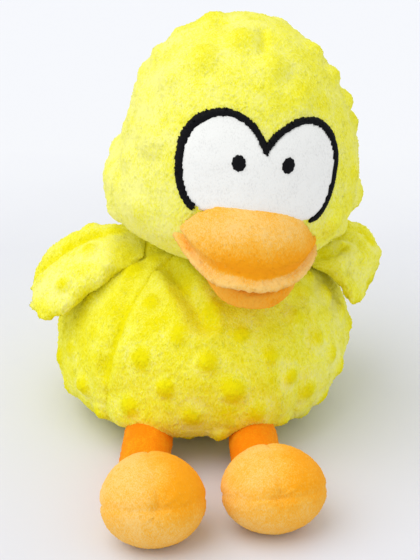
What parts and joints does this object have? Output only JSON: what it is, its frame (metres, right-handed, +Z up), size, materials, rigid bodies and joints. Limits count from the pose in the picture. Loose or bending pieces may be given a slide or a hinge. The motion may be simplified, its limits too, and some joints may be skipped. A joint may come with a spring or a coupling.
{
  "type": "stuffed plush duck",
  "caption": "Stuffed plush duck sitting with its legs out in front: dotted minky body and head, padded bill, soft wings and ball feet.",
  "frame": {"origin": "centre of the flat base that the body sits on, at floor level", "axes": "+Z up, -Y to the duck's front, +X to the duck's left"},
  "size_m": [0.1394, 0.1787, 0.1632],
  "materials": {
    "yellow_minky": "dimple-dot minky plush, short pile",
    "orange_plush": "short-pile plush",
    "white_velour": "short-pile velour",
    "black_embroidery": "satin stitch",
    "yellow_thread": "twisted sewing thread",
    "polyester_fibre": "loose stuffing"
  },
  "bodies": {
    "torso": {"body_front_panel": "yellow_minky", "body_side_panel_left": "yellow_minky", "body_side_panel_right": "yellow_minky", "body_base_panel": "yellow_minky", "body_stuffing": "polyester_fibre"},
    "neck": {"neck_seam": "yellow_thread"},
    "head": {"head_front_panel": "yellow_minky", "head_back_panel": "yellow_minky", "head_stuffing": "polyester_fibre", "eye_patch": "white_velour", "eye_outline": "black_embroidery", "pupil_left": "black_embroidery", "pupil_right": "black_embroidery", "bill_upper_top_panel": "orange_plush", "bill_upper_under_panel": "orange_plush", "bill_upper_stuffing": "polyester_fibre"},
    "bill_lower": {"bill_lower_top_panel": "orange_plush", "bill_lower_under_panel": "orange_plush"},
    "wing_left": {"wing_left_top_panel": "yellow_minky", "wing_left_under_panel": "yellow_minky"},
    "wing_right": {"wing_right_top_panel": "yellow_minky", "wing_right_under_panel": "yellow_minky"},
    "leg_left": {"leg_left_cover": "orange_plush", "leg_left_stuffing": "polyester_fibre"},
    "foot_left": {"foot_left_upper_inner": "orange_plush", "foot_left_upper_outer": "orange_plush", "foot_left_sole": "orange_plush", "foot_left_stuffing": "polyester_fibre"},
    "leg_right": {"leg_right_cover": "orange_plush", "leg_right_stuffing": "polyester_fibre"},
    "foot_right": {"foot_right_upper_inner": "orange_plush", "foot_right_upper_outer": "orange_plush", "foot_right_sole": "orange_plush", "foot_right_stuffing": "polyester_fibre"}
  },
  "joints": [
    {"name": "head_turn", "type": "hinge", "parent": "torso", "child": "neck", "pos_m": [0.0105, 0, 0.112], "axis": [0.1045, 0, 0.9945], "range_deg": [-40, 22], "stiffness_Nm_per_rad": 0.12},
    {"name": "head_nod", "type": "hinge", "parent": "neck", "child": "head", "pos_m": [0.0105, 0, 0.112], "axis": [0.967, 0.2334, -0.1016], "range_deg": [-10, 4], "stiffness_Nm_per_rad": 0.25},
    {"name": "bill_open", "type": "hinge", "parent": "head", "child": "bill_lower", "pos_m": [0.0114, -0.03257, 0.08115], "axis": [0.9474, 0.2334, -0.2187], "range_deg": [-1.5, 8], "stiffness_Nm_per_rad": 0.01},
    {"name": "wing_left_flap", "type": "hinge", "parent": "torso", "child": "wing_left", "pos_m": [0.03841, 0.00677, 0.0642], "axis": [0.1736, -0.9848, 0], "range_deg": [-3, 20], "stiffness_Nm_per_rad": 0.01},
    {"name": "wing_right_flap", "type": "hinge", "parent": "torso", "child": "wing_right", "pos_m": [-0.02839, -0.00248, 0.06943], "axis": [-0.0872, 0.9962, 0], "range_deg": [-3, 20], "stiffness_Nm_per_rad": 0.01},
    {"name": "leg_left_swing", "type": "hinge", "parent": "torso", "child": "leg_left", "pos_m": [0.018, -0.05429, 0.0105], "axis": [1, 0, 0], "range_deg": [-30, 60]},
    {"name": "leg_right_swing", "type": "hinge", "parent": "torso", "child": "leg_right", "pos_m": [-0.022, -0.0528, 0.0105], "axis": [1, 0, 0], "range_deg": [-30, 60]},
    {"name": "foot_left_flex", "type": "hinge", "parent": "leg_left", "child": "foot_left", "pos_m": [0.01988, -0.07822, 0.00944], "axis": [0.9848, 0.1736, 0], "range_deg": [-18, 18], "stiffness_Nm_per_rad": 0.004},
    {"name": "foot_right_flex", "type": "hinge", "parent": "leg_right", "child": "foot_right", "pos_m": [-0.02435, -0.08271, 0.00944], "axis": [0.9848, 0.1736, 0], "range_deg": [-18, 18], "stiffness_Nm_per_rad": 0.004}
  ]
}
